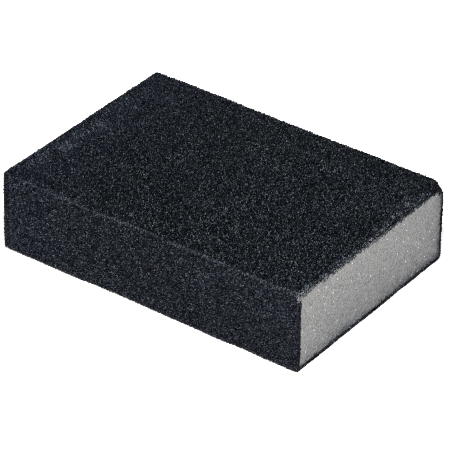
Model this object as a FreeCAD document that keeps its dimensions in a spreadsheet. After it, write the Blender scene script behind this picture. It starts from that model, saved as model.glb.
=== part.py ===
import FreeCAD, Part
import Sketcher
import math
import os

# A four-side-coated foam sanding block. Millimetres and degrees.
# +X runs along the length, the front long side faces -Y, +Z is up.
# The origin is the centre of the bottom working face.
# The foam is a bar cut to length. Its top, bottom, front and rear carry a resin bond
# coat and, over that, a layer of abrasive grain. Both ends are cut and stay bare.
# Each coat is a thin plate whose two long edges curl round the block's arrises and
# meet the neighbouring coat on a 45 degree mitre.

doc = FreeCAD.newDocument("sanding_block")

# ---- driving dimensions
DIMS = [
    ("block_length", 100.0),    # along X, cut face to cut face
    ("block_width", 70.0),      # along Y, over the grain of both long sides
    ("block_height", 25.0),     # along Z, over the grain of top and bottom
    ("arris_radius", 1.4),      # outer radius of the four long edges, over the grain
    ("grit_thickness", 0.85),   # abrasive grain and its size resin
    ("bond_thickness", 0.35),   # resin that glues the grain to the foam
    ("mitre_angle", 45.0),      # where two coats meet on an arris
]
sheet = doc.addObject("Spreadsheet::Sheet", "dims")
for row, (alias, value) in enumerate(DIMS, 1):
    sheet.set("A%d" % row, alias)
    sheet.set("B%d" % row, str(value))
    sheet.setAlias("B%d" % row, alias)
doc.recompute()
D = {alias: float(sheet.get(alias)) for alias, _ in DIMS}

# Rounding of each layer's outer surface at the arrises: (expression, radius).
# The three are concentric.
GRIT_ROUND = (
    "dims.arris_radius",
    D["arris_radius"],
)
BOND_ROUND = (
    "dims.arris_radius - dims.grit_thickness",
    D["arris_radius"] - D["grit_thickness"],
)
CORE_ROUND = (
    "dims.arris_radius - dims.grit_thickness - dims.bond_thickness",
    D["arris_radius"] - D["grit_thickness"] - D["bond_thickness"],
)

# Coats, inside to outside: label ending, inner rounding, outer rounding
COATS = [
    ("_bond_coat", CORE_ROUND, BOND_ROUND),
    ("_grit", BOND_ROUND, GRIT_ROUND),
]

# Arris axes: expressions for their distance from the middle and their two heights
ARRIS_ACROSS = "dims.block_width / 2 - dims.arris_radius"
ARRIS_LOW = "dims.arris_radius"
ARRIS_HIGH = "dims.block_height - dims.arris_radius"

# The section is seen with Y to the right and Z up, and is walked anticlockwise.
# Arris i turns from 90 * i to 90 * (i + 1) degrees, and side i joins it to the next.
ARRISES = ["rear_top", "front_top", "front_bottom", "rear_bottom"]
SIDES = ["top", "front", "bottom", "rear"]

# Sketcher's numbers for the points of a curve, and the sketch origin
START, END, CENTRE = 1, 2, 3
ORIGIN = (-1, START)


# ---- section geometry
def arris_centre(arris):
    y = D["block_width"] / 2 - D["arris_radius"]
    if arris.startswith("front"):
        y = -y
    z = D["arris_radius"]
    if arris.endswith("top"):
        z = D["block_height"] - D["arris_radius"]
    return FreeCAD.Vector(y, z, 0)


def toward(angle):
    turn = math.radians(angle)
    return FreeCAD.Vector(math.cos(turn), math.sin(turn), 0)


def arc(centre, radius, start, end):
    circle = Part.Circle(centre, FreeCAD.Vector(0, 0, 1), radius)
    return Part.ArcOfCircle(circle, math.radians(start), math.radians(end))


# ---- sketches and pads
def new_body(label):
    """A body with an empty sketch on its own YZ plane, across the length."""
    body = doc.addObject("PartDesign::Body", label)
    sketch = body.newObject("Sketcher::SketchObject", label + "_section")
    plane = [f for f in body.Origin.OriginFeatures if f.Role == "YZ_Plane"][0]
    sketch.AttachmentSupport = (plane, "")
    sketch.MapMode = "FlatFace"
    return body, sketch


def constrain(sketch, *constraint):
    return sketch.addConstraint(Sketcher.Constraint(*constraint))


def dimension(sketch, name, expression, *constraint):
    """Adds a named constraint and binds it to the sheet."""
    index = constrain(sketch, *constraint)
    sketch.renameConstraint(index, name)
    sketch.setExpression("Constraints." + name, expression)


def place_on_arris(sketch, name, curve, arris):
    """Puts an arc's centre on the axis of one arris."""
    where = arris_centre(arris)
    centre = (curve, CENTRE)
    # A distance is kept positive, so in front it runs from the arc to the origin.
    across = ORIGIN + centre if where.x > 0 else centre + ORIGIN
    dimension(sketch, name + "_across", ARRIS_ACROSS, "DistanceX", *across, abs(where.x))
    height = ARRIS_HIGH if arris.endswith("top") else ARRIS_LOW
    dimension(sketch, name + "_up", height, "DistanceY", *ORIGIN, *centre, where.y)


def set_mitre(sketch, name, line, angle):
    """Turns a mitre line to the mitre angle plus its quarter turns, within +-180."""
    angle = (angle + 180.0) % 360.0 - 180.0
    quarters = round(angle - D["mitre_angle"])
    expression = "dims.mitre_angle + %d" % quarters
    dimension(sketch, name, expression, "Angle", line, math.radians(angle))


def pad_along_length(body, sketch, label):
    doc.recompute()
    pad = body.newObject("PartDesign::Pad", label + "_length")
    pad.Profile = sketch
    pad.SideType = "Symmetric"
    pad.Length = D["block_length"]
    pad.setExpression("Length", "dims.block_length")
    doc.recompute()


# ---- foam core: a bar with lightly eased long edges
def foam_core(label):
    body, sketch = new_body(label)
    expression, radius = CORE_ROUND

    # Arcs take the even numbers, the straight sides the odd ones.
    for i, arris in enumerate(ARRISES):
        here = arris_centre(arris)
        there = arris_centre(ARRISES[(i + 1) % 4])
        out = toward(90.0 * (i + 1)) * radius
        sketch.addGeometry(arc(here, radius, 90.0 * i, 90.0 * (i + 1)), False)
        sketch.addGeometry(Part.LineSegment(here + out, there + out), False)

    for curve in range(8):
        constrain(sketch, "Tangent", curve, END, (curve + 1) % 8, START)
    for i, arris in enumerate(ARRISES):
        place_on_arris(sketch, arris, 2 * i, arris)
    dimension(sketch, "core_radius", expression, "Radius", 0, radius)
    for curve in (2, 4, 6):
        constrain(sketch, "Equal", 0, curve)
    pad_along_length(body, sketch, label)
    return body


# ---- one coat on one side: a straight run with an eighth turn at each end
def coat(label, side, inner, outer):
    body, sketch = new_body(label)
    turn = SIDES.index(side)
    first, last = ARRISES[turn], ARRISES[(turn + 1) % 4]
    p, q = arris_centre(first), arris_centre(last)
    inner_expression, inner_radius = inner
    outer_expression, outer_radius = outer
    start = 90.0 * turn + D["mitre_angle"]
    normal = 90.0 * (turn + 1)
    end = start + 90.0

    def line(centre_a, angle_a, radius_a, centre_b, angle_b, radius_b):
        return Part.LineSegment(
            centre_a + toward(angle_a) * radius_a, centre_b + toward(angle_b) * radius_b
        )

    # Round the outline, in the order of the numbers below
    outline = [
        arc(p, outer_radius, start, normal),
        line(p, normal, outer_radius, q, normal, outer_radius),
        arc(q, outer_radius, normal, end),
        line(q, end, inner_radius, q, end, outer_radius),
        arc(q, inner_radius, normal, end),
        line(q, normal, inner_radius, p, normal, inner_radius),
        arc(p, inner_radius, start, normal),
        line(p, start, inner_radius, p, start, outer_radius),
    ]
    (outer_first, outer_run, outer_last, last_mitre,
     inner_last, inner_run, inner_first, first_mitre) = range(8)
    for curve in outline:
        sketch.addGeometry(curve, False)

    for constraint in (
        ("Tangent", outer_first, END, outer_run, START),
        ("Tangent", outer_run, END, outer_last, START),
        ("Tangent", inner_last, START, inner_run, START),
        ("Tangent", inner_run, END, inner_first, END),
        ("Coincident", outer_last, END, last_mitre, END),
        ("Coincident", last_mitre, START, inner_last, END),
        ("Coincident", inner_first, START, first_mitre, START),
        ("Coincident", first_mitre, END, outer_first, START),
        ("Coincident", outer_first, CENTRE, inner_first, CENTRE),
        ("Coincident", outer_last, CENTRE, inner_last, CENTRE),
        ("Equal", outer_first, outer_last),
        ("Equal", inner_last, inner_first),
        ("PointOnObject", outer_first, CENTRE, first_mitre),
        ("PointOnObject", outer_last, CENTRE, last_mitre),
    ):
        constrain(sketch, *constraint)
    dimension(sketch, "outer_radius", outer_expression, "Radius", outer_first, outer_radius)
    dimension(sketch, "inner_radius", inner_expression, "Radius", inner_first, inner_radius)
    place_on_arris(sketch, "first", outer_first, first)
    place_on_arris(sketch, "last", outer_last, last)
    set_mitre(sketch, "first_mitre", first_mitre, start)
    set_mitre(sketch, "last_mitre", last_mitre, end)
    pad_along_length(body, sketch, label)
    return body


# ---- expected section areas
def core_area():
    """A rectangle less what the four roundings take off its corners."""
    skin = D["grit_thickness"] + D["bond_thickness"]
    rectangle = (D["block_width"] - 2 * skin) * (D["block_height"] - 2 * skin)
    return rectangle - (4 - math.pi) * CORE_ROUND[1] ** 2


def coat_area(side, inner, outer):
    """A straight run and two eighth-turn edges."""
    across = D["block_width"] if side in ("top", "bottom") else D["block_height"]
    run = across - 2 * D["arris_radius"]
    return run * (outer[1] - inner[1]) + math.pi / 4 * (outer[1] ** 2 - inner[1] ** 2)


# ---- build: one foam core and eight coats
bodies = {"foam_core": foam_core("foam_core")}
areas = {"foam_core": core_area()}
for side in SIDES:
    for ending, inner, outer in COATS:
        label = side + ending
        bodies[label] = coat(label, side, inner, outer)
        areas[label] = coat_area(side, inner, outer)
doc.recompute()

# ---- checks, before anything is written
for thing in doc.Objects:
    bad = [state for state in thing.State if state in ("Invalid", "Error")]
    if bad:
        raise RuntimeError("%s is %s" % (thing.Label, bad))
    if thing.TypeId == "Sketcher::SketchObject":
        if thing.solve() != 0:
            raise RuntimeError("%s does not solve" % thing.Label)
        if not thing.FullyConstrained:
            raise RuntimeError("%s is not fully constrained" % thing.Label)

for node, body in bodies.items():
    shape = body.Shape
    expected = areas[node] * D["block_length"]
    if shape.isNull() or not shape.isValid() or len(shape.Solids) != 1:
        raise RuntimeError("%s has a bad shape" % node)
    if abs(shape.Volume - expected) > 0.001 * expected:
        raise RuntimeError("%s: volume %.3f, not %.3f" % (node, shape.Volume, expected))
    if body.Label != node:
        raise RuntimeError("%s is labelled %s" % (node, body.Label))

os.makedirs("parts", exist_ok=True)
for node, body in bodies.items():
    body.Shape.exportStep("parts/" + node + ".step")
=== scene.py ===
# A foam sanding block: a foam bar whose top, bottom and two long sides each carry a resin coat and
# a grain coat that curl over the long edges. Both ends are cut bare.
# The length lies along X, the width along Y (front is -Y, rear is +Y); the underside is at z = 0.
import math

import bpy
import numpy as np
from mathutils import Matrix, Vector


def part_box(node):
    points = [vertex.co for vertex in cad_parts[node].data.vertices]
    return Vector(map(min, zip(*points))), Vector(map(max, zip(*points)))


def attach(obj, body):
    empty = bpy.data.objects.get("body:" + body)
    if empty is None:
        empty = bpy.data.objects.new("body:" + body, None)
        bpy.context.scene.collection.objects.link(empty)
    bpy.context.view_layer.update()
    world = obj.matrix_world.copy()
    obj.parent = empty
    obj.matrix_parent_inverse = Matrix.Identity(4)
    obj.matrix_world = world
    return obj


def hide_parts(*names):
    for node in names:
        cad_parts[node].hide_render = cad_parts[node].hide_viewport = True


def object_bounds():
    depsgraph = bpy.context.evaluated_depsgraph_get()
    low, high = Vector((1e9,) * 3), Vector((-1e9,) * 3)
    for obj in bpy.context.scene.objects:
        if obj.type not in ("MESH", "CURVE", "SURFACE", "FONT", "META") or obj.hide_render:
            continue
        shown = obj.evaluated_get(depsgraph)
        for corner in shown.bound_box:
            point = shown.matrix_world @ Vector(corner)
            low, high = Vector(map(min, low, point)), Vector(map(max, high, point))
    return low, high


# Lengths are in the frame's axes and in millimetres, and become metres when a mesh is made.
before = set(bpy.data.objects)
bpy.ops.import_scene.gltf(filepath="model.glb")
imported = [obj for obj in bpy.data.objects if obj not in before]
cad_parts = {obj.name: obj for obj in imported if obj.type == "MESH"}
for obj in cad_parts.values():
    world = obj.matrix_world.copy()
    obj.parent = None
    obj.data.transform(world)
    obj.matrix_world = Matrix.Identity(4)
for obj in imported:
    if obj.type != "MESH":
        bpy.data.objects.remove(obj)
cad_lo, cad_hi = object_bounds()
MM = 0.001

# ------------------------------------------------------------------ sizes, from the frame
LO = np.array(cad_lo) / MM
HI = np.array(cad_hi) / MM
LENGTH, WIDTH, HEIGHT = HI - LO
HALF_X, HALF_Y, HALF_Z = LENGTH / 2, WIDTH / 2, HEIGHT / 2
MIDDLE = (HI + LO) / 2
MID_X, MID_Y, MID_Z = MIDDLE


def high_corner(node):
    return np.array(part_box(node)[1]) / MM


GRIT = HI[2] - high_corner("top_bond_coat")[2]                                # grain layer
BOND = high_corner("top_bond_coat")[2] - high_corner("foam_core")[2]          # resin layer
ARRIS = (HI[1] - high_corner("top_grit")[1]) / (1 - math.sqrt(0.5))   # radius of the long edges
R_BOND = ARRIS - GRIT
R_CORE = ARRIS - GRIT - BOND
CORE_HALF_Y = HALF_Y - GRIT - BOND
CORE_HALF_Z = HALF_Z - GRIT - BOND

GRIT_PITCH = 0.297      # spacing of the mesh points in each kind of surface
BOND_PITCH = 0.95
FOAM_PITCH = 0.262
rng = np.random.default_rng(815)


# ------------------------------------------------------------------ smooth noise and curves
def hash01(ix, iy, iz, seed):
    n = (ix * 374761393 + iy * 668265263 + iz * 1440662683 + seed * 362437) & 0xFFFFFFFF
    n = ((n ^ (n >> 13)) * 1274126177) & 0xFFFFFFFF
    n = ((n ^ (n >> 16)) * 2246822519) & 0xFFFFFFFF
    return ((n ^ (n >> 15)) & 0xFFFFFF) / float(0xFFFFFF)


def noise(x, y, z, seed):
    """Smooth value noise, -1 to 1, one feature per unit."""
    point = np.broadcast_arrays(*(np.asarray(a, float) for a in (x, y, z)))
    floors = [np.floor(a) for a in point]
    ix, iy, iz = (a.astype(np.int64) for a in floors)
    parts = (a - low for a, low in zip(point, floors))
    tx, ty, tz = (t * t * t * (t * (t * 6 - 15) + 10) for t in parts)
    total = 0
    for dx in (0, 1):
        for dy in (0, 1):
            for dz in (0, 1):
                weight = (tx if dx else 1 - tx) * (ty if dy else 1 - ty) * (tz if dz else 1 - tz)
                total = total + weight * hash01(ix + dx, iy + dy, iz + dz, seed)
    return total * 2 - 1


def fbm(x, y, z, seed, octaves):
    """Noise with finer, weaker noise added, -1 to 1."""
    total, amount, norm = 0, 1.0, 0.0
    for o in range(octaves):
        total = total + amount * noise(x * 2**o, y * 2**o, z * 2**o, seed + 17 * o)
        norm += amount
        amount *= 0.5
    return total / norm


def clamp(value):
    return np.clip(value, 0, 1)


def step(start, end, x):
    """Smooth rise from 0 at start to 1 at end; end may be the smaller."""
    t = clamp((np.asarray(x, float) - start) / (end - start))
    return t * t * (3 - 2 * t)


def bell(x, centre, width):
    return np.exp(-(((np.asarray(x, float) - centre) / width) ** 2))


def wave(x, xs, ys):
    """Smooth curve through a few points."""
    i = np.clip(np.searchsorted(xs, x) - 1, 0, len(xs) - 2)
    t = clamp((x - xs[i]) / (xs[i + 1] - xs[i]))
    t = t * t * (3 - 2 * t)
    return ys[i] * (1 - t) + ys[i + 1] * t


def normal_draw(count, low, high):
    return rng.standard_normal(count).clip(low, high)


def local(points):
    """x and y from the block's middle, z as it is."""
    return points[:, 0] - MID_X, points[:, 1] - MID_Y, points[:, 2]


# ------------------------------------------------------------------ the block's own slight unevenness
# Every piece is bent by the same field, so the pieces stay in contact.
# corner, as the signs of x, y and z: its move in x, y and z
CORNER_MOVES = {
    (-1, -1, 1): (0.02, 0.0, 0.04),
    (-1, 1, 1): (0.34, 0.36, 0.04),
    (-1, -1, -1): (-0.38, 0.0, 0.0),
    (-1, 1, -1): (0.05, 0.10, 0.0),
    (1, -1, 1): (0.0, 0.0, 0.0),
    (1, 1, 1): (0.30, 0.16, 0.05),
    (1, -1, -1): (0.08, 0.0, -0.20),
    (1, 1, -1): (0.30, 0.14, -0.20),
}
# x from the middle, how far the lower front edge stands out towards -Y
FRONT_EDGE_OUT = np.array([
    (-50, 0.02), (-40, -0.06), (-30, 0.02), (-24, 0.00), (-17, -0.38), (-8, -0.50),
    (4, -0.24), (14, -0.17), (24, 0.00), (32, -0.32), (40, -0.08), (50, -0.15),
]).T
# x from the middle, how far the rear top edge rises
REAR_EDGE_UP = np.array([
    (-50, 0.08), (-38, 0.24), (-26, 0.15), (-14, -0.10), (0, -0.10),
    (15, -0.20), (26, 0.05), (38, -0.02), (50, 0.10),
]).T
KNOCK_RADIUS = 5.2      # of the rear top edge where it meets the +X end
SWELL = 0.05            # height of the slow waves in every face


def knock(x, y, z):
    """How far the rear top edge is pulled in, in y and z, to be rounder at the +X end."""
    edge_radius = ARRIS - 0.22
    inset = KNOCK_RADIUS - edge_radius
    from_y, from_z = y - (HALF_Y - KNOCK_RADIUS), z - (HALF_Z - KNOCK_RADIUS)
    past_y, past_z = np.maximum(from_y, 0), np.maximum(from_z, 0)
    reach = np.hypot(past_y, past_z)
    safe = np.maximum(reach, 1e-6)
    cos_y, cos_z = past_y / safe, past_z / safe
    # distance to the old outline along the same ray: a flat, or the old small arc
    lean = inset * (cos_y + cos_z)
    flat = KNOCK_RADIUS / np.maximum(np.maximum(cos_y, cos_z), 0.5)
    arc = lean + np.sqrt(np.maximum(lean**2 - 2 * inset * inset + edge_radius * edge_radius, 0))
    outline = np.where(flat * np.minimum(cos_y, cos_z) > inset, arc, flat)
    outline = np.maximum(outline, KNOCK_RADIUS)
    pull = (outline - KNOCK_RADIUS) * np.minimum(reach / outline, 1.1) ** 2
    pull = pull * bell(np.minimum(x, HALF_X), HALF_X, 1.7)
    both = (from_y > 0) & (from_z > 0)
    return np.where(both, pull * from_y / safe, 0), np.where(both, pull * from_z / safe, 0)


def warp(points):
    """Soft-goods unevenness. Moves points by a fraction of a millimetre, more at the knock."""
    x, y, z = (points - MIDDLE).T
    u, v, w = x / HALF_X, y / HALF_Y, z / HALF_Z
    shift = np.zeros_like(points)
    for (side_x, side_y, side_z), move in CORNER_MOVES.items():
        share = np.clip((1 + side_x * u) / 2, 0, 1.02) * np.clip((1 + side_y * v) / 2, 0, 1.02)
        share = share * np.clip((1 + side_z * w) / 2, 0, 1.02)
        shift += share[:, None] * np.array(move)
    low_front = clamp((1 - w) / 2) ** 1.5 * clamp((1 - v) / 2) ** 8
    shift[:, 1] -= wave(x, *FRONT_EDGE_OUT) * low_front
    top_rear = clamp((1 + w) / 2) ** 2 * clamp((1 + v) / 2) ** 6
    shift[:, 2] += wave(x, *REAR_EDGE_UP) * clamp((1 + w) / 2) ** 2 * clamp((1 + v) / 2) ** 6
    pull_y, pull_z = knock(x, y, z)
    shift[:, 1] -= pull_y
    shift[:, 2] -= pull_z
    # the front top edge sinks a little
    from_edge = (HALF_Y + y) + (HALF_Z - z)
    sink = bell(np.maximum(from_edge, 0), 0, 2.2)
    shift[:, 2] -= 0.10 * sink * (0.6 + 0.4 * noise(x / 9, 0, 0, 3))
    # slow waves in every face but the underside
    shift[:, 0] += SWELL * noise(x / 21, y / 17, z / 13, 11)
    shift[:, 1] += SWELL * noise(x / 19, y / 23, z / 15, 12)
    shift[:, 2] += SWELL * noise(x / 17, y / 16, z / 19, 13) * step(-HALF_Z, 0, z)
    return points + shift


# ------------------------------------------------------------------ meshes
ROW_STEP = 0.8660254    # height of a triangle with sides of 1


def lattice(half_u, half_v, pitch):
    """A triangle lattice that fills a rectangle centred on 0. Returns u, v, triangles, rows,
    which points are the middles of six-sided cells, and the true pitch."""
    count_u = int(round(2 * half_u / pitch))
    count_v = int(round(2 * half_v / (pitch * ROW_STEP)))
    du, dv = 2 * half_u / count_u, 2 * half_v / count_v
    us, vs, middles, rows, at = [], [], [], [], 0
    for j in range(count_v + 1):
        if j % 2 == 0:
            u = -half_u + du * np.arange(count_u + 1)
        else:
            u = np.concatenate([[-half_u], -half_u + du * (np.arange(count_u) + 0.5), [half_u]])
        column = np.arange(len(u)) - j % 2 - j // 2
        middle = (column - j) % 3 == 0
        middle[[0, -1]] = False
        if j in (0, count_v):
            middle[:] = False
        rows.append(np.arange(at, at + len(u)))
        at += len(u)
        us.append(u)
        vs.append(np.full(len(u), -half_v + dv * j))
        middles.append(middle)
    tris = []
    for j, (lo, hi) in enumerate(zip(rows[:-1], rows[1:])):
        up_tips, down_tips = (hi[1:-1], lo) if j % 2 == 0 else (hi, lo[1:-1])
        tris.append(np.stack([lo[:-1], lo[1:], up_tips], 1))
        tris.append(np.stack([hi[:-1], down_tips, hi[1:]], 1))
    return (np.concatenate(us), np.concatenate(vs), np.concatenate(tris), rows,
            np.concatenate(middles), du)


def scatter(u, v, drift, jumps, inside, halves, margin):
    """Slow drift of the lattice, then a jump of each inside point, so that no row shows.
    jumps: (pitch, largest jump of each point in pitches)."""
    pitch, largest = jumps
    angle = rng.random(len(u)) * 2 * math.pi
    jump = np.sqrt(rng.random(len(u))) * pitch * largest * inside
    moved = (u + drift[0] + jump * np.cos(angle), v + drift[1] + jump * np.sin(angle))
    return [np.where(inside, np.clip(new, -half + margin, half - margin), old)
            for new, old, half in zip(moved, (u, v), halves)]


def zip_strip(a, b, ta, tb):
    """Triangles between two lines of points. Seen with a above b and both running right, they
    turn anticlockwise."""
    tris, i, j = [], 0, 0
    while i < len(a) - 1 or j < len(b) - 1:
        if j == len(b) - 1 or (i < len(a) - 1 and ta[i + 1] <= tb[j + 1]):
            tris.append((a[i], b[j], a[i + 1]))
            i += 1
        else:
            tris.append((a[i], b[j], b[j + 1]))
            j += 1
    return np.array(tris)


def uv_band(along, base, size, rise):
    """UV of every point in one band of the map; along and rise run 0 to 1."""
    return np.stack([0.01 + 0.98 * along, base + size * rise], -1)


def make_object(node, points, groups, face_values, point_values):
    """groups: list of (triangles, uv for each corner). Returns the object, flat shaded."""
    name = "vis_" + node
    tris = np.concatenate([t for t, _ in groups])
    uv = np.concatenate([corners.reshape(-1, 2) for _, corners in groups])
    mesh = bpy.data.meshes.new(name)
    mesh.vertices.add(len(points))
    mesh.vertices.foreach_set("co", (points * MM).astype(np.float32).ravel())
    mesh.loops.add(tris.size)
    mesh.loops.foreach_set("vertex_index", tris.astype(np.int32).ravel())
    mesh.polygons.add(len(tris))
    mesh.polygons.foreach_set("loop_start", np.arange(0, tris.size, 3, dtype=np.int32))
    mesh.update(calc_edges=True)
    layer = mesh.uv_layers.new(name="OFBake")
    layer.data.foreach_set("uv", uv.astype(np.float32).ravel())
    for domain, fields in (("FACE", face_values), ("POINT", point_values)):
        for key, values in fields.items():
            attribute = mesh.attributes.new(key, "FLOAT", domain)
            attribute.data.foreach_set("value", values.astype(np.float32))
    if mesh.validate():
        raise RuntimeError(name + " had a bad face")
    ob = bpy.data.objects.new(name, mesh)
    bpy.context.scene.collection.objects.link(ob)
    return ob


# ------------------------------------------------------------------ coats
# side: (unit across the section, unit outward), as (y, z); half the flat run; centre to arris axis
SIDES = {
    "top": ((1, 0), (0, 1), HALF_Y - ARRIS, HALF_Z - ARRIS),
    "bottom": ((1, 0), (0, -1), HALF_Y - ARRIS, HALF_Z - ARRIS),
    "front": ((0, 1), (-1, 0), HALF_Z - ARRIS, HALF_Y - ARRIS),
    "rear": ((0, 1), (1, 0), HALF_Z - ARRIS, HALF_Y - ARRIS),
}
SIDE_SEED = {side: i for i, side in enumerate(sorted(SIDES))}
CURL = math.pi / 4 * (ARRIS - 0.3)      # how much of v one curled edge takes


def place(side, x, v, r):
    """Where a coat's point sits: x along the block, v across the coat, r out from the arris axis."""
    across, out, run, axis = SIDES[side]
    turn = np.maximum(np.abs(v) - run, 0) / CURL * (math.pi / 4)
    a = np.sign(v) * (np.minimum(np.abs(v), run) + r * np.sin(turn))
    b = axis + r * np.cos(turn)
    return np.stack([x, MID_Y + a * across[0] + b * out[0], MID_Z + a * across[1] + b * out[1]], 1)


def evenness(side, points):
    """How much the grains differ in darkness, and how much paler they are on the whole. Top and
    bottom are most even at the -X rear, the long sides low down and at the +X end. The long sides
    are also painted paler throughout, as painted side light."""
    x, y, z = local(points)
    if side in ("top", "bottom"):
        left, back = clamp((15 - x) / 65), clamp((y + 5) / 40)
        spread = 1.05 - 0.19 * left - 0.13 * back - 0.05 * left * back
        return spread, (1 - spread) * 0.145
    spread = 0.90 - 0.04 * clamp(1 - z / HEIGHT) - 0.14 * clamp((x - 5) / 45)
    # painted side light: the long sides are made paler throughout
    return spread, (1 - spread) * 0.138 + 0.035


def coat_shell(side, pitch, surface, r_inner, ragged):
    """A closed coat. surface gives the outer radius, tone and painted cavity shade of every lattice
    point; ragged gives how far the cut end falls short. Returns points, uv groups, the tone of each
    face and the painted cavity shade of the lattice points, which come first."""
    across, out, run, _ = SIDES[side]
    half = run + CURL
    u, v, tris, rows, middle, pitch = lattice(HALF_X, half, pitch)
    count = len(u)
    to_end = np.minimum(u + HALF_X, HALF_X - u)
    to_rim = np.minimum(v + half, half - v)
    inside = (to_end > 1e-6) & (to_rim > 1e-6)
    fade = clamp(to_end / 4) * clamp(to_rim / 4)
    seed = 40 + SIDE_SEED[side]
    drift = (0.55 * fade * noise(u / 5.1, v / 4.7, 0.3, seed),
             0.55 * fade * noise(u / 4.6, v / 5.3, 7.7, seed + 9))
    jumps = (pitch, np.where(middle, 0.50, 0.24))
    x, v = scatter(u, v, drift, jumps, inside, (HALF_X, half), margin=0.02)
    turn = np.maximum(np.abs(v) - run, 0) / CURL
    r, tone, cavity_shade = surface(side, x, v, middle, turn, to_end)
    for sign in (-1, 1):
        near = clamp(1 - to_end / 1.5) * (np.sign(u) == sign)
        x = x - sign * near * ragged(side, sign, v)
    # x, v, radius and height in the coat of each set of points
    parts = [(x, v, r, np.ones(count))]
    # middle row of each end wall
    ends, at = {}, count
    for sign, pick, rough in ((-1, 0, 0.05), (1, -1, 0.10)):
        line = np.array([row[pick] for row in rows])
        size = len(line)
        mid_r = r_inner + (r[line] - r_inner) * (0.45 + 0.1 * rng.standard_normal(size))
        mid_x = x[line] + sign * rough * normal_draw(size, -1.5, 1.2)
        parts.append((mid_x, v[line], mid_r, np.full(size, 0.5)))
        ends[sign] = (line, np.arange(at, at + size))
        at += size
    # coarse inner sheet
    flat = np.linspace(-run, run, max(4, int(run / 4)))
    sheet_v = np.concatenate([[-half, -half + CURL / 2], flat, [half - CURL / 2, half]])
    grid_x, grid_v = np.meshgrid(np.linspace(-HALF_X, HALF_X, 26), sheet_v, indexing="ij")
    inner = np.arange(at, at + grid_x.size).reshape(grid_x.shape)
    for sign, i in ((-1, 0), (1, -1)):
        grid_x[i] -= sign * (ragged(side, sign, sheet_v) * 0.6)
    size = grid_x.size
    parts.append((grid_x.ravel(), grid_v.ravel(), np.full(size, r_inner), np.zeros(size)))
    x, v, r, height = (np.concatenate(column) for column in zip(*parts))
    points = place(side, x + MID_X, v, r)
    unit_x = clamp((x + HALF_X) / LENGTH)
    unit_v = clamp((v + half) / (2 * half))

    groups = [(tris, uv_band(unit_x, 0.07, 0.92, unit_v)[tris])]
    a, b = inner[:-1, :-1].ravel(), inner[1:, :-1].ravel()
    c, d = inner[1:, 1:].ravel(), inner[:-1, 1:].ravel()
    sheet = np.concatenate([np.stack([a, d, c], 1), np.stack([a, c, b], 1)])
    groups.append((sheet, uv_band(unit_x, 0.002, 0.006, unit_v)[sheet]))
    # end walls
    for sign, base in ((1, 0.012), (-1, 0.032)):
        line, mid = ends[sign]
        low = inner[-1 if sign == 1 else 0]
        t = np.concatenate([zip_strip(line, mid, v[line], v[mid]),
                            zip_strip(mid, low, v[mid], v[low])])
        if sign == -1:
            t = t[:, ::-1]
        groups.append((t, uv_band(unit_v, base, 0.015, height)[t]))
    # rims along the length
    for k, base in ((0, 0.052), (-1, 0.060)):
        line = np.concatenate([[ends[-1][1][k]], rows[k], [ends[1][1][k]]])
        low = inner[:, k]
        line_x, low_x = x[line], x[low]
        line_x[-1] = max(line_x[-1], line_x[-2], low_x[-1])
        t = zip_strip(line, low, line_x, low_x)
        if k == -1:
            t = t[:, ::-1]
        groups.append((t, uv_band(unit_x, base, 0.005, height)[t]))
    # (x, across, out) must be a right-handed set, or every face turns inside out
    if across[0] * out[1] - across[1] * out[0] < 0:
        groups = [(t[:, ::-1], uv[:, ::-1]) for t, uv in groups]

    # each grain has its own darkness, and each of its facets a little more or less
    tris = np.concatenate([t for t, _ in groups])
    extra = len(points) - count
    tone = np.concatenate([tone, rng.standard_normal(extra)])
    middle = np.concatenate([middle, np.zeros(extra, bool)])
    score = middle[tris] * 10.0 + rng.random(tris.shape) * 0.1
    owner = tris[np.arange(len(tris)), score.argmax(1)]
    face_tone = 0.56 * tone[owner] + 1.08 * rng.standard_normal(len(tris))
    spread, paler = evenness(side, points[owner])
    face_tone = clamp(0.5 + spread * face_tone / 7 + paler)
    return warp(points), groups, face_tone, cavity_shade


def bulge(turn, amount):
    """Extra radius that squares up a curled edge."""
    return amount * np.sin(clamp(turn) * math.pi / 2) ** 2


def grit_surface(side, x, v, middle, turn, to_end):
    count = len(x)
    clump = fbm(x / 2.6, v / 2.6, 0.5, 60 + SIDE_SEED[side], octaves=2)
    height = np.where(middle, 0.96 + 0.09 * normal_draw(count, -2.2, 1.8),
                      0.62 + 0.06 * normal_draw(count, -2, 2))
    pick = rng.random(count)
    height = np.where(middle & (pick < 0.08), 0.58, height)              # a grain is missing
    height = np.where(~middle & (pick < 0.14), height + 0.25, height)    # two run together
    height = height + 0.045 * clump
    # thinner, rougher cover where the coat curls over the long edge
    height = height * (1 - 0.07 * turn**2) + 0.05 * turn * rng.standard_normal(count)
    height = height * (1 - 0.04 * clamp(1 - to_end / 0.5))
    tone = rng.standard_normal(count)
    # painted shade between the grains: 1 on the grain tips, less in the hollows
    cavity_shade = np.where(middle, 1.0, clamp((height - 0.52) / 0.42) * 0.6)
    return R_BOND + np.clip(height, 0.2, GRIT + 0.27) + bulge(turn, 0.22), tone, cavity_shade


def grit_ragged(side, sign, v):
    seed = 80 + SIDE_SEED[side]
    deep = 0.42 if side == "top" else 0.16
    fine = noise(v / 0.85, sign * 3.1, 0.5, seed)
    slow = noise(v / 2.9, sign * 5.7, 0.5, seed + 1)
    deep = deep if sign > 0 else 0.35 * deep
    return deep * np.clip(0.02 + 0.75 * fine + 0.45 * slow, -0.32, 1.1)


def bond_surface(side, x, v, middle, turn, to_end):
    """The resin has no painted cavity shade value."""
    r = R_BOND - 0.02 + 0.015 * noise(x / 1.3, v / 1.3, 0.5, 31) + bulge(turn, 0.06)
    return r, rng.standard_normal(len(x)), None


def bond_ragged(side, sign, v):
    return 0.07 * noise(v / 0.9, sign * 2.3, 0.5, 90 + SIDE_SEED[side])


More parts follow.
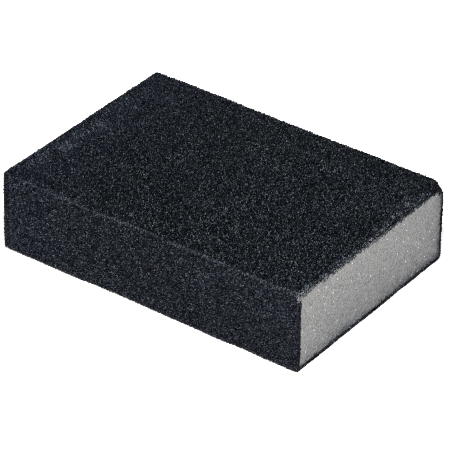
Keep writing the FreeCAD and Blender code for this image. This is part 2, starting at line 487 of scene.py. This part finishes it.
# ------------------------------------------------------------------ dust, wear and torn foam
# dusty patches on the top: x and y from the middle, size along x, size along y, strength
DUST_MARKS = (
    (48.7, 19.1, 0.85, 2.3, 1.90), (49.0, 24.4, 0.60, 2.2, 0.95), (46.9, 21.8, 1.1, 2.0, 0.50),
    (47.0, 16.8, 1.0, 1.4, 0.45), (43.4, 29.2, 1.0, 0.8, 0.50), (49.9, 5.0, 0.60, 2.0, 0.90),
    (49.9, -3.2, 0.50, 1.0, 0.70), (48.9, 12.2, 0.8, 2.3, 1.40), (49.2, 8.4, 0.8, 1.6, 0.90),
    (48.6, 3.6, 0.7, 0.9, 0.60), (49.2, -14.0, 0.6, 2.0, 0.40), (49.4, -30.5, 0.6, 3.0, 0.45),
    (47.6, -34.2, 2.2, 0.40, 0.50), (-44.6, 0.8, 2.0, 2.6, 0.95), (-45.4, -5.5, 2.2, 3.6, 0.62),
    (-45.0, -13.5, 2.2, 3.0, 0.80), (-46.5, -22.0, 1.9, 5.0, 0.45), (-45.5, 14.0, 2.6, 8.0, 0.20),
)
# y from the middle, how deep the dark resin and grain show on the foam below the upper cut
SOAK_DEPTH = np.array([
    (-34, 0.70), (-28, 0.78), (-18, 0.72), (-8, 0.67), (2, 0.70),
    (11, 0.98), (19, 0.62), (26, 0.18), (31, 0.50), (34, 0.60),
]).T
# y from the middle, how much torn foam lies over the upper cut
FUZZ_AMOUNT = np.array([
    (-35, 0.62), (-28, 0.60), (-22, 0.46), (-15, 0.44), (-8, 0.46), (0, 0.56),
    (8, 0.32), (15, 0.34), (22, 0.30), (27, 0.08), (30, 0.0), (35, 0.0),
]).T


def dust_mask(x, y, fine, mid, on_top):
    dust = np.zeros(len(x))
    for mark_x, mark_y, size_x, size_y, strength in DUST_MARKS:
        dust = np.maximum(dust, strength * bell(x, mark_x, size_x) * bell(y, mark_y, size_y))
    dust = dust * on_top * (0.55 + 0.9 * fine + 0.7 * mid)
    # frayed, pale bits here and there along the cut ends, none at the knocked corner
    to_end = HALF_X - np.abs(x)
    clump = clamp(noise(y / 2.2, x / 30, 0.5, 26) + 0.5 * noise(y / 0.8, x / 30, 0.5, 27))
    fray = step(1.3, 0.2, to_end) * on_top * clump
    tips = step(0.45, 0.10, to_end) * on_top * (0.12 + 2.3 * fine + 1.0 * mid)
    fray = np.maximum(fray, tips) * step(29.5, 25.5, np.where(x > 0, y, 0))
    return clamp(dust + fray * clamp(0.45 + 1.2 * fine))


def wear_and_highlight_mask(x, y, z, mid, on_top):
    """Thin, pale cover on the long edges and at the -X end: worn cover, with a painted highlight
    along the front top edge and on the -X end's top rim.
    """
    edge = np.zeros(len(x))
    for side_y, edge_z in ((-1, 0), (1, 0), (1, HEIGHT)):
        row = side_y * 3 + edge_z
        dist = np.hypot(side_y * HALF_Y - y, edge_z - z)
        broken = 0.62 + 0.55 * noise(x / 3.3, row, 0.5, 21) + 0.45 * noise(x / 0.9, row, 0.5, 22)
        edge = np.maximum(edge, 0.45 * step(0.86, 0.60, dist) * np.clip(broken, 0, 1.2))
    # painted highlight: the front top edge has a thin, nearly unbroken pale line that wanders up and
    # down
    ends = bell(x, 50.5, 3.0)
    low = 0.22 + 0.30 * bell(x, -20.5, 7.0) - 0.10 * bell(x, -3.0, 6.0) - 0.22 * ends
    slim = 0.10 * step(-4, -18, x)
    dist = np.hypot(y + HALF_Y - 0.48 + 0.8 * low, HEIGHT - 0.04 - low - z)
    broken = 0.94 + 0.30 * noise(x / 3.3, 0.5, 0.5, 21) + 0.30 * noise(x / 0.9, 0.5, 0.5, 22)
    broken = broken * (1 - 0.8 * step(-44, -47, x)) - 0.12 * step(-18, -30, x)
    line = step(0.54 - slim + 0.55 * ends, 0.20 - 0.5 * slim, dist)
    edge = np.maximum(edge, line * (np.clip(broken, 0, 1.2) + 0.8 * ends))
    # a pale crease beside the pressed band of the long sides, and a painted highlight as a pale rim
    # on that end's top
    crease = bell(x + HALF_X, 2.35 + 0.15 * mid, 0.28)
    crease = crease * step(0.9, 0.3, np.abs(np.abs(y) - HALF_Y)) * 0.42
    rim = step(0.85, 0.25, x + HALF_X) * on_top * 0.42
    return clamp(np.maximum(np.maximum(edge, crease), rim))


def coat_masks(points):
    """Dust, wear with painted edge highlights, and brown bare patches on a coat, 0 to 1."""
    x, y, z = local(points)
    fine = fbm(x / 0.55, y / 0.55, z / 0.55, 5, octaves=2)
    mid = fbm(x / 2.4, y / 2.4, z / 2.4, 6, octaves=2)
    on_top = step(HEIGHT - 2.2, HEIGHT - 0.6, z)
    # the knocked corner, and the front side's -X edge
    corner = bell(x, 49.6, 1.4) * bell(np.hypot(HALF_Y - y, HEIGHT - z), 0, 2.0)
    brown = 0.95 * step(0.75, 0.20, x + HALF_X) * step(1.2, 0.6, y + HALF_Y)
    return {
        "dust": dust_mask(x, y, fine, mid, on_top),
        "wear_and_highlight": wear_and_highlight_mask(x, y, z, mid, on_top),
        "worn": clamp(np.maximum(corner, brown) * (0.8 + 0.6 * fine)),
    }


def fuzz(points):
    """How much torn foam lies over the cut ends, 0 to 1."""
    x, y, z = local(points)
    at_cut = step(0.55, 0.15, HALF_X - np.abs(x))
    amount = np.interp(y, *FUZZ_AMOUNT) * step(HEIGHT - 3.4, HEIGHT - 2.2, z)
    amount = amount * (0.45 + 0.55 * clamp((HEIGHT - z) / 1.2))
    # a little on the lower cut and at the front top corner
    lower = (0.26 + 0.22 * noise(y / 1.7, 0.5, 0.5, 28)) * step(1.7, 1.0, z)
    corner = 0.66 * bell(np.hypot(y + HALF_Y, HEIGHT - z), 0, 1.5) * (y < 0)
    return np.maximum(np.maximum(amount, lower), corner) * at_cut


def end_band(points, side):
    """Darker coat: painted shade on the cut ends; darker over the last two millimetres of the long
    sides at -X, and on the top at the rear of the +X end."""
    x, y, _ = local(points)
    if side == "top":
        to_end = HALF_X - x
        dark = 0.85 * step(3.4, 1.6, to_end) * step(27.5, 31.5, y)
        return clamp(dark + 0.4 * step(0.5, 0.1, to_end) * step(24, 28, y))
    # painted shade on the cut ends of the long sides and underside
    cut = step(0.28, 0.05, HALF_X - np.abs(x)) * (0.10 if side == "bottom" else 0.32)
    if side == "bottom":
        return cut
    uneven = 0.35 * noise(points[:, 1] / 2.1, points[:, 2] / 2.1, 0.5, 25)
    return np.maximum(cut, step(2.1, 1.6, x + HALF_X + 0.5 * uneven) * 0.6)


def grit_coat(side):
    points, groups, tone, cavity_shade = coat_shell(
        side, GRIT_PITCH, grit_surface, R_BOND, grit_ragged)
    # painted cold side light: a paler, bluer coat on the long sides; the coat is also bluer towards
    # the -X end
    cool_and_side_light = 0.52 if side in ("front", "rear") else 0.0
    return make_object(side + "_grit", points, groups, {"tone": tone}, {
        # painted shade: a middle amount on the end walls, rims and inner sheet
        "cavity_shade": np.concatenate([cavity_shade, np.full(len(points) - len(cavity_shade), 0.5)]),
        **coat_masks(points),
        "dark": end_band(points, side),
        "fuzz": fuzz(points),
        "cool_and_side_light": cool_and_side_light + 0.60 * step(-18, -44, points[:, 0] - MID_X),
    })


def bond_coat(side):
    points, groups, tone, _ = coat_shell(side, BOND_PITCH, bond_surface, R_CORE, bond_ragged)
    return make_object(side + "_bond_coat", points, groups, {"tone": tone},
                       {"fuzz": fuzz(points)})


# ------------------------------------------------------------------ foam core
def foam_end(sign):
    """A cut end with open cells. Returns points, triangles, rows and a random value for each
    cell middle, -1 elsewhere."""
    u, v, tris, rows, middle, pitch = lattice(CORE_HALF_Y, CORE_HALF_Z, FOAM_PITCH)
    count = len(u)
    edge = np.minimum(np.minimum(u + CORE_HALF_Y, CORE_HALF_Y - u),
                      np.minimum(v + CORE_HALF_Z, CORE_HALF_Z - v))
    inside = edge > 1e-6
    fade = clamp(edge / 3)
    drift = (0.45 * fade * noise(u / 3.9, v / 4.3, 0.3, 140 + sign),
             0.45 * fade * noise(u / 4.4, v / 3.7, 5.7, 150 + sign))
    jumps = (pitch, np.where(middle, 0.62, 0.36))
    y, z = scatter(u, v, drift, jumps, inside, (CORE_HALF_Y, CORE_HALF_Z), margin=0.01)
    size = rng.random(count)
    depth = np.where(middle, 0.04 + 0.20 * rng.random(count) ** 1.5,
                     0.03 * rng.standard_normal(count))
    depth = np.where(middle & (rng.random(count) < 0.22), 0.0, depth)    # closed cells
    depth = np.where(middle & (size > 0.96), 0.36, depth)                # deep cells
    depth = np.where(~middle & (size > 0.90), 0.10, depth)               # broken walls
    depth = depth + 0.05 * fbm(y / 1.9, z / 1.9, sign * 4.4, 160, octaves=3)
    depth = depth + 0.07 * noise(y / 9, z / 7, sign * 2.4, 161)
    depth = np.where(inside, depth, 0.01)
    points = np.stack([MID_X + sign * (HALF_X - depth), MID_Y + y, MID_Z + z], 1)
    if sign == -1:
        tris = tris[:, ::-1]
    return points, tris, rows, np.where(middle, rng.random(count), -1.0)


def foam_sides(points, ends):
    """The four long sides, hidden under the coats: coarse rings between the two ends. ends: the
    point rows of the -X and +X ends. Returns all points and the sides' triangles."""
    ys = np.linspace(-CORE_HALF_Y, CORE_HALF_Y, 18)
    zs = np.linspace(-CORE_HALF_Z, CORE_HALF_Z, 7)
    loop = ([(y, -CORE_HALF_Z) for y in ys[:-1]] + [(CORE_HALF_Y, z) for z in zs[:-1]]
            + [(y, CORE_HALF_Z) for y in ys[:0:-1]] + [(-CORE_HALF_Y, z) for z in zs[:0:-1]])
    xs = np.linspace(-HALF_X + 2, HALF_X - 2, 13)
    rings = len(points) + np.arange(len(xs) * len(loop)).reshape(len(xs), len(loop))
    ring_points = [(MID_X + x, MID_Y + y, MID_Z + z) for x in xs for y, z in loop]
    points = np.concatenate([points, np.array(ring_points)])
    tris = []
    for a, b in zip(rings[:-1], rings[1:]):
        a_next, b_next = np.roll(a, -1), np.roll(b, -1)
        tris.append(np.stack([a, a_next, b_next], 1))
        tris.append(np.stack([a, b_next, b], 1))
    corners = np.cumsum([0] + [len(ys) - 1, len(zs) - 1] * 2)
    for rows, ring, is_low_x in zip(ends, (rings[0], rings[-1]), (True, False)):
        left = np.array([row[0] for row in rows])
        right = np.array([row[-1] for row in rows])
        closed = np.append(ring, ring[0])
        # fine line of the end, the axis it runs along and its direction
        lines = ((rows[0], 1, 1), (right, 2, 1), (rows[-1][::-1], 1, -1), (left[::-1], 2, -1))
        for k, (fine, axis, way) in enumerate(lines):
            coarse = closed[corners[k]:corners[k + 1] + 1]
            t = zip_strip(fine, coarse, way * points[fine, axis], way * points[coarse, axis])
            tris.append(t[:, ::-1] if is_low_x else t)
    return points, np.concatenate(tris)


def foam_stain(y, z, end):
    """Colour fields on the cut ends: soak (grain and resin over the foam), bleed (resin drawn
    into the cells near the coats, and painted shade towards the bottom and rear) and lift (loose,
    paler grit). end is the sign of x."""
    fine = fbm(y / 0.55, z / 0.55, end * 3, 171, octaves=2)
    slow = noise(y / 6, z / 5, end * 5, 172)
    tooth = noise(y / 1.3, z / 1.3, end * 7, 173)
    cell = normal_draw(len(y), -2, 2)
    skin = GRIT + BOND
    gap = {"top": HEIGHT - skin - z, "bottom": z - skin,
           "front": y + CORE_HALF_Y, "rear": CORE_HALF_Y - y}
    away = {side: np.maximum(distance, 0) for side, distance in gap.items()}
    reach = {
        "top": np.interp(y, *SOAK_DEPTH) + 0.16 * slow + 0.82 * fine + 0.50 * tooth + 0.14 * cell,
        "front": 0.36 + 0.006 * z + 0.22 * fine + 0.24 * tooth + 0.10 * cell,
        "bottom": 0.02 + 0.40 * fine + 0.52 * tooth + 0.10 * cell,
        "rear": 0.10 + 0.26 * fine + 0.22 * tooth + 0.08 * cell,
        "knocked corner": np.where(end > 0, 1.9 + 0.35 * fine, -1.0),
    }
    gap["knocked corner"] = np.hypot(away["top"], away["rear"])
    soak = np.zeros(len(y))
    for place_name, distance in gap.items():
        soft = 0.08 if place_name == "top" else 0.11
        soak = np.maximum(soak, step(soft, -soft, distance - reach[place_name]))
    # resin fades away from each coat, quickly; the slow tails from the bottom and rear, the rise
    # towards the rear and the darker lower middle are painted shade
    bleed_and_shade = 0.52 * np.exp(-away["bottom"] / 1.2)
    bleed_and_shade += 0.41 * np.exp(-away["bottom"] / 7.2) * (1 - 0.22 * bell(y, -CORE_HALF_Y, 9))
    bleed_and_shade += 0.60 * np.exp(-away["rear"] / 1.15)
    bleed_and_shade += 0.16 * np.exp(-away["rear"] / 8.0)
    bleed_and_shade += 0.030 * (y / CORE_HALF_Y + 1)
    bleed_and_shade += 0.085 * bell(y, -9, 18) * step(20, 9, z)
    bleed_and_shade += 0.10 * np.exp(-np.maximum(away["top"] - 0.5, 0) / 0.5)
    bleed_and_shade += 0.12 * np.exp(-np.maximum(away["front"] - 0.5, 0) / 0.35)
    bleed_and_shade = clamp(bleed_and_shade * (1 + 0.15 * slow + 0.22 * tooth + 0.45 * fine))
    # the upper cut carries more loose, paler grit than the others
    lift = step(0.8, 0.1, gap["top"]) * clamp(0.50 + 0.8 * fine + 0.6 * tooth)
    lift = lift * step(CORE_HALF_Y - 4, CORE_HALF_Y - 9, y)
    lift = np.maximum(lift, 0.26 * step(0.9, 0.2, gap["front"]))
    lift = np.maximum(lift, 0.34 * step(0.3, 0.0, gap["bottom"]))
    return soak, bleed_and_shade, lift


def foam_core():
    """A closed bar with open cells cut through on both ends."""
    low_points, low_tris, low_rows, low_pore = foam_end(-1)
    high_points, high_tris, high_rows, high_pore = foam_end(1)
    start = len(low_points)
    high_tris = high_tris + start
    points, side_tris = foam_sides(np.concatenate([low_points, high_points]),
                                   (low_rows, [row + start for row in high_rows]))
    x, y, z = local(points)
    unit_x = x / LENGTH + 0.5
    unit_y = y / (2 * CORE_HALF_Y) + 0.5
    unit_z = (points[:, 2] - MID_Z) / (2 * CORE_HALF_Z) + 0.5
    groups = [
        (low_tris, uv_band(unit_y, 0.525, 0.46, unit_z)[low_tris]),
        (high_tris, uv_band(unit_y, 0.04, 0.46, unit_z)[high_tris]),
        (side_tris, uv_band(unit_x, 0.002, 0.025, (unit_y + unit_z) / 2)[side_tris]),
    ]
    pore = np.concatenate([low_pore, high_pore])
    pore = np.concatenate([pore, np.full(len(points) - len(pore), -1.0)])
    end = np.sign(x)
    soak, bleed_and_shade, lift = foam_stain(y, z, end)
    tris = np.concatenate([t for t, _ in groups])
    score = pore[tris] + rng.random(tris.shape) * 0.001
    owner = tris[np.arange(len(tris)), score.argmax(1)]
    tone = np.where(pore[owner] >= 0, pore[owner], rng.random(len(tris)))
    facet = clamp(0.5 + 0.17 * rng.standard_normal(len(tris)))
    # grains dragged over the cut stand a little proud of the foam
    proud = soak * (0.10 + 0.07 * normal_draw(len(points), -1.5, 1.5))
    points[:, 0] += end * (proud * (np.abs(x) > HALF_X - 1))
    return make_object("foam_core", warp(points), groups, {"tone": tone, "facet": facet},
                       {"soak": soak, "bleed_and_shade": bleed_and_shade, "lift": lift, "fuzz": fuzz(points)})


pieces = {}
for side in SIDES:
    pieces[side + "_grit"] = grit_coat(side)
    pieces[side + "_bond_coat"] = bond_coat(side)
pieces["foam_core"] = foam_core()


# ------------------------------------------------------------------ materials
class Nodes:
    """Short names for building a node material. Sizes are in mm."""

    def __init__(self, name):
        self.material = bpy.data.materials.new(name)
        self.material.use_nodes = True
        self.tree = self.material.node_tree
        self.tree.nodes.clear()
        output = self.new("OutputMaterial")
        self.bsdf = self.new("BsdfPrincipled")
        self.put(output.inputs[0], self.bsdf.outputs[0])
        self.where = self.new("TexCoord").outputs["Object"]

    def new(self, kind):
        return self.tree.nodes.new("ShaderNode" + kind)

    def put(self, socket, value):
        if isinstance(value, bpy.types.NodeSocket):
            self.tree.links.new(value, socket)
        else:
            socket.default_value = value

    def attr(self, name):
        node = self.new("Attribute")
        node.attribute_name = name
        return node.outputs["Fac"]

    def noise(self, size, detail=2.0, rough=0.6, shift=None):
        node = self.new("TexNoise")
        node.inputs["Scale"].default_value = 1000.0 / size
        node.inputs["Detail"].default_value = detail
        node.inputs["Roughness"].default_value = rough
        where = self.where
        if shift is not None:
            add = self.new("VectorMath")
            add.operation = "ADD"
            self.put(add.inputs[0], where)
            add.inputs[1].default_value = (shift, shift * 1.7, -shift)
            where = add.outputs[0]
        self.put(node.inputs["Vector"], where)
        return node.outputs["Fac"]

    def cells(self, size):
        node = self.new("TexVoronoi")
        node.inputs["Scale"].default_value = 1000.0 / size
        self.put(node.inputs["Vector"], self.where)
        return node.outputs["Distance"]

    def math(self, operation, a, b=0.0, clamped=False):
        node = self.new("Math")
        node.operation = operation
        node.use_clamp = clamped
        for socket, value in zip(node.inputs, (a, b, 0.0)):
            self.put(socket, value)
        return node.outputs[0]

    def times(self, a, b, clamped=False):
        return self.math("MULTIPLY", a, b, clamped)

    def contrast(self, tone, spread):
        """Brightness as a power of a 0 to 1 tone; 0.5 gives 1."""
        return self.math("EXPONENT", self.times(self.math("SUBTRACT", tone, 0.5), spread))

    def ramp(self, value, over, to=(0.0, 1.0)):
        """Smooth change between the two values in `to` while value crosses `over`."""
        node = self.new("MapRange")
        node.interpolation_type = "SMOOTHSTEP"
        keys = ("Value", "From Min", "From Max", "To Min", "To Max")
        for key, setting in zip(keys, (value, *over, *to)):
            self.put(node.inputs[key], setting)
        return node.outputs[0]

    def mix(self, amount, base, cover, blend="MIX"):
        node = self.new("Mix")
        node.data_type = "RGBA"
        node.blend_type = blend
        self.put(node.inputs[0], amount)
        for socket, colour in ((node.inputs[6], base), (node.inputs[7], cover)):
            self.put(socket, colour if isinstance(colour, bpy.types.NodeSocket) else (*colour, 1))
        return node.outputs[2]

    def tint(self, level, colour):
        """A colour made brighter or darker by a number."""
        grey = self.new("CombineXYZ")
        for socket in grey.inputs:
            self.put(socket, level)
        return self.mix(1.0, grey.outputs[0], colour, "MULTIPLY")

    def torn(self):
        """Small patches of torn foam, where the fuzz attribute lets them through."""
        spots = self.noise(0.50, detail=1.5, shift=0.53)
        edge = self.math("SUBTRACT", 0.80, self.times(self.attr("fuzz"), 0.62))
        return self.ramp(self.math("SUBTRACT", spots, edge), over=(0.0, 0.035))

    def bump(self, height, strength, depth, under=None):
        node = self.new("Bump")
        node.inputs["Strength"].default_value = strength
        node.inputs["Distance"].default_value = depth * MM
        self.put(node.inputs["Height"], height)
        if under is not None:
            self.put(node.inputs["Normal"], under)
        return node.outputs[0]

    def finish(self, colour, rough, normal, specular):
        self.put(self.bsdf.inputs["Base Color"], colour)
        self.put(self.bsdf.inputs["Roughness"], rough)
        self.put(self.bsdf.inputs["Specular IOR Level"], specular)
        self.put(self.bsdf.inputs["Normal"], normal)
        return self.material


GRIT_LEVEL = 0.0060     # brightness of a grain of middle tone
GRIT_SPREAD = 9.95      # contrast between facets


def grit_material():
    mat = Nodes("black_abrasive_grain")
    tone = mat.attr("tone")
    shade = mat.contrast(tone, GRIT_SPREAD)
    slow = mat.noise(14.0, detail=3.0)
    patch = mat.noise(2.6, shift=0.31)
    # cold hues that drift over the block
    hue = mat.mix(mat.ramp(patch, over=(0.35, 0.68)), (1.0, 1.072, 1.17), (0.965, 1.068, 1.34))
    hue = mat.mix(mat.ramp(slow, over=(0.30, 0.72), to=(0.0, 0.5)), hue, (1.065, 1.13, 1.18))
    cast = mat.noise(5.5, shift=0.67)
    hue = mat.mix(mat.ramp(cast, over=(0.35, 0.65), to=(0.0, 0.6)), hue, (0.98, 1.092, 1.18))
    # painted shade between the grains and on the cut ends, darker in the other dark bands; the
    # brightest facets are held back
    level = mat.times(shade, GRIT_LEVEL)
    level = mat.times(level, mat.ramp(mat.attr("cavity_shade"), over=(0.0, 0.75), to=(0.36, 1.0)))
    level = mat.times(level, mat.ramp(slow, over=(0.25, 0.75), to=(1.18, 0.84)))
    level = mat.times(level, mat.ramp(mat.attr("dark"), over=(0.0, 1.0), to=(1.0, 0.45)))
    level = mat.math("DIVIDE", level, mat.math("ADD", 1.0, mat.times(level, 7.0)))
    colour = mat.tint(level, hue)
    # painted cold sheen, as of a thin resin film: a little cold light even on the darkest facet
    painted_cold_sheen = mat.mix(mat.ramp(cast, over=(0.35, 0.65)), (0.0001, 0.0008, 0.0026),
                   (0.0, 0.0010, 0.0019))
    colour = mat.mix(1.0, colour, painted_cold_sheen, "ADD")
    # painted cold side light on the long sides, and bluer towards the -X end
    colour = mat.mix(mat.attr("cool_and_side_light"), colour,
                     mat.mix(1.0, colour, (0.0003, 0.0007, 0.0035), "ADD"))
    # pale powder, thin cover with painted edge highlights, brown bare patches and torn foam, each
    # over the last
    speck = mat.noise(0.33, detail=1.0, rough=0.5, shift=0.77)
    lit = mat.math("MINIMUM", mat.math("POWER", shade, 0.8), 3.6)
    dusty = mat.times(mat.attr("dust"), mat.ramp(speck, over=(0.42, 0.60), to=(0.08, 1.15)),
                      clamped=True)
    powder = mat.tint(lit, (0.078, 0.091, 0.112))
    colour = mat.mix(mat.times(dusty, 0.80), colour, powder)
    # worn cover along the edges, and painted highlight along the front top edge and the -X end's top
    # rim
    edge_wear_and_highlight = mat.times(mat.attr("wear_and_highlight"), mat.ramp(speck, over=(0.36, 0.60), to=(0.25, 1.0)),
                     clamped=True)
    bare = mat.tint(mat.math("POWER", lit, 0.55), (0.051, 0.058, 0.070))
    colour = mat.mix(mat.times(edge_wear_and_highlight, 0.80), colour, bare)
    colour = mat.mix(mat.times(mat.attr("worn"), 0.85), colour, (0.030, 0.0205, 0.0155))
    colour = mat.mix(mat.times(mat.torn(), 0.90), colour, (0.180, 0.186, 0.200))
    # bright facets are clean and glassy, the rest is dulled by resin
    rough = mat.math("ADD", mat.ramp(tone, over=(0.2, 0.8), to=(0.62, 0.32)),
                     mat.ramp(speck, over=(0.3, 0.7), to=(-0.06, 0.10)))
    rough = mat.math("ADD", rough, mat.times(dusty, 0.30), clamped=True)
    normal = mat.bump(mat.noise(0.085, detail=3.0), strength=0.5, depth=0.04)
    return mat.finish(colour, rough, normal, specular=0.024)


def bond_material():
    mat = Nodes("black_bond_resin")
    patch = mat.noise(0.8, detail=3.0)
    colour = mat.mix(mat.ramp(patch, over=(0.3, 0.7)), (0.0035, 0.0042, 0.0058),
                     (0.010, 0.011, 0.0135))
    # pale specks, then torn foam
    speck = mat.noise(0.3, rough=0.5, shift=0.2)
    colour = mat.mix(mat.ramp(speck, over=(0.60, 0.75), to=(0.0, 0.5)), colour,
                     (0.03, 0.033, 0.039))
    colour = mat.mix(mat.times(mat.attr("fuzz"), 0.9, clamped=True), colour,
                     (0.026, 0.029, 0.035))
    colour = mat.mix(mat.times(mat.torn(), 0.95), colour, (0.215, 0.219, 0.225))
    rough = mat.ramp(patch, over=(0.3, 0.7), to=(0.50, 0.72))
    normal = mat.bump(mat.noise(0.2, detail=3.0), strength=0.5, depth=0.05)
    return mat.finish(colour, rough, normal, specular=0.08)


def foam_material():
    mat = Nodes("grey_open_cell_foam")
    tone = mat.attr("tone")
    wall = mat.cells(0.30)
    slow = mat.noise(11.0, detail=3.0)
    fine = mat.noise(0.55, detail=3.0, rough=0.65, shift=0.4)
    # grey that drifts between warm and cold
    colour = mat.mix(mat.ramp(slow, over=(0.3, 0.7)), (0.265, 0.262, 0.258),
                     (0.287, 0.285, 0.281))
    drift = mat.mix(mat.ramp(mat.noise(3.2, shift=0.15), over=(0.3, 0.7)),
                    (1.012, 1.0, 0.985), (0.988, 1.0, 1.018))
    colour = mat.mix(1.0, colour, drift, "MULTIPLY")
    # dark cells, pale walls, fine and broad darker blotches
    colour = mat.mix(mat.ramp(tone, over=(0.0, 0.24), to=(0.95, 0.06)), colour,
                     (0.155, 0.155, 0.155))
    colour = mat.mix(mat.ramp(wall, over=(0.15, 0.55), to=(0.0, 0.25)), colour,
                     (0.43, 0.43, 0.425))
    colour = mat.mix(mat.ramp(fine, over=(0.30, 0.70), to=(0.0, 0.35)), colour,
                     (0.21, 0.21, 0.21))
    blotch = mat.noise(1.3, shift=0.9)
    colour = mat.mix(mat.ramp(blotch, over=(0.25, 0.75), to=(0.0, 0.30)), colour,
                     (0.225, 0.222, 0.215))
    # bright cell skins: painted glints, and softer painted glints as pale flecks
    glint = mat.times(mat.ramp(tone, over=(0.9885, 0.9895)),
                      mat.ramp(mat.attr("facet"), over=(0.42, 0.46)))
    pale = mat.times(mat.ramp(tone, over=(0.965, 0.975)),
                     mat.ramp(mat.attr("facet"), over=(0.5, 0.55)))
    colour = mat.mix(mat.times(pale, 0.5), colour, (0.52, 0.52, 0.515))
    colour = mat.mix(mat.times(glint, 0.9), colour, (0.68, 0.68, 0.67))
    # resin drawn into the cells beside the coats, with painted shade towards the bottom and rear,
    # then grain dragged over the cut
    colour = mat.mix(mat.attr("bleed_and_shade"), colour, (0.055, 0.060, 0.070))
    shade = mat.contrast(mat.attr("facet"), 6.0)
    level = mat.ramp(mat.attr("lift"), over=(0.0, 1.0), to=(0.0050, 0.0330))
    grain = mat.tint(mat.times(shade, level), (1.0, 1.07, 1.20))
    # painted cold light added to the dragged grain
    grain = mat.mix(1.0, grain, (0.0, 0.0010, 0.0026), "ADD")
    untorn = mat.math("SUBTRACT", 1.0, mat.times(mat.torn(), 0.38))
    colour = mat.mix(mat.times(mat.attr("soak"), untorn), colour, grain)
    rough = mat.math("SUBTRACT", 0.92, mat.times(glint, 0.45))
    normal = mat.bump(wall, strength=0.35, depth=0.09)
    normal = mat.bump(mat.noise(0.12), strength=0.3, depth=0.03, under=normal)
    return mat.finish(colour, rough, normal, specular=0.12)


# last word of the node's name: slot and material
SLOTS = {
    "grit": ("abrasive_grit", grit_material()),
    "coat": ("bond_resin", bond_material()),
    "core": ("foam", foam_material()),
}
for node, ob in pieces.items():
    slot, material = SLOTS[node.split("_")[-1]]
    ob.data.materials.append(material)
    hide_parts(node)
    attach(ob, "root")


# ------------------------------------------------------------------ floor, light and camera (metres)
FLOOR_HALF = 4.0
FLOOR_GAP = 0.00002
FLOOR_COLOUR = (0.97, 0.97, 0.97)
WORLD_LIGHT, WORLD_SEEN = 0.40, 1.0     # backdrop strength as a light, and as the camera sees it
LIGHT_AT = (0.396, -0.550, 0.87)
LIGHT_AIM = (0, 0, 0.012)
# the camera looks from the front right and above
AZIMUTH, ELEVATION, ROLL = math.radians(35.75), math.radians(33.05), math.radians(0.80)
DISTANCE = 0.8890
SHIFT_RIGHT, SHIFT_UP = 0.00068, -0.00279
LENS_MM = 254.912


def floor_material():
    mat = Nodes("pale_floor")
    soft = mat.noise(60.0, rough=0.55)
    colour = mat.mix(mat.ramp(soft, over=(0.3, 0.7)), FLOOR_COLOUR,
                     tuple(c * 0.985 for c in FLOOR_COLOUR))
    normal = mat.bump(mat.noise(4.0, rough=0.55), strength=0.02, depth=0.02)
    mat.finish(colour, 0.9, normal, specular=0.2)
    # far from the block the floor glows, so the light does not fall off into a grey horizon
    far = mat.new("VectorMath")
    far.operation = "LENGTH"
    mat.put(far.inputs[0], mat.new("TexCoord").outputs["Object"])
    glow = mat.ramp(far.outputs["Value"], over=(0.35, 1.40), to=(0.0, 0.62))
    mat.put(mat.bsdf.inputs["Emission Color"], (1.0, 1.0, 1.0, 1.0))
    mat.put(mat.bsdf.inputs["Emission Strength"], glow)
    return mat.material


def add_floor():
    lowest = min(v.co.z for v in pieces["bottom_grit"].data.vertices)
    mesh = bpy.data.meshes.new("floor")
    corners = [(x * FLOOR_HALF, y * FLOOR_HALF, 0) for x, y in ((-1, -1), (1, -1), (1, 1), (-1, 1))]
    mesh.from_pydata(corners, [], [(0, 1, 2, 3)])
    floor = bpy.data.objects.new("floor", mesh)
    floor.location = (0, 0, lowest - FLOOR_GAP)
    mesh.materials.append(floor_material())
    bpy.context.scene.collection.objects.link(floor)


def add_world():
    world = bpy.data.worlds.new("studio")
    world.use_nodes = True
    tree = world.node_tree
    background = tree.nodes["Background"]
    background.inputs[0].default_value = (1.0, 1.0, 1.0, 1)
    path = tree.nodes.new("ShaderNodeLightPath")
    strength = tree.nodes.new("ShaderNodeMapRange")
    for key, value in (("From Min", 0.0), ("From Max", 1.0),
                       ("To Min", WORLD_LIGHT), ("To Max", WORLD_SEEN)):
        strength.inputs[key].default_value = value
    tree.links.new(path.outputs["Is Camera Ray"], strength.inputs["Value"])
    tree.links.new(strength.outputs["Result"], background.inputs[1])
    bpy.context.scene.world = world


def add_key_light():
    data = bpy.data.lights.new("key", "AREA")
    data.shape = "DISK"
    data.size = 0.17
    data.energy = 16.4
    data.color = (1, 1, 1)
    ob = bpy.data.objects.new("key", data)
    ob.location = LIGHT_AT
    aim = Vector(LIGHT_AIM) - Vector(LIGHT_AT)
    ob.rotation_euler = aim.to_track_quat("-Z", "Y").to_euler()
    bpy.context.scene.collection.objects.link(ob)


def add_camera():
    back = Vector((math.sin(AZIMUTH) * math.cos(ELEVATION),
                   -math.cos(AZIMUTH) * math.cos(ELEVATION), math.sin(ELEVATION)))
    right = (-back).cross(Vector((0, 0, 1))).normalized()
    up = right.cross(-back)
    right, up = (math.cos(ROLL) * right + math.sin(ROLL) * up,
                 -math.sin(ROLL) * right + math.cos(ROLL) * up)
    at = Vector(MIDDLE) * MM + back * DISTANCE + right * SHIFT_RIGHT + up * SHIFT_UP
    data = bpy.data.cameras.new("camera")
    data.sensor_width = 36.0
    data.lens = LENS_MM
    data.clip_start, data.clip_end = 0.01, 20.0
    ob = bpy.data.objects.new("camera", data)
    rows = [(right[i], up[i], back[i], at[i]) for i in range(3)]
    ob.matrix_world = Matrix((*rows, (0, 0, 0, 1)))
    bpy.context.scene.collection.objects.link(ob)
    bpy.context.scene.camera = ob


bpy.context.view_layer.update()
add_floor()
add_world()
add_key_light()
add_camera()
scene = bpy.context.scene
scene.view_settings.view_transform = "Standard"
scene.cycles.filter_width = 1.0
scene.cycles.use_denoising = False
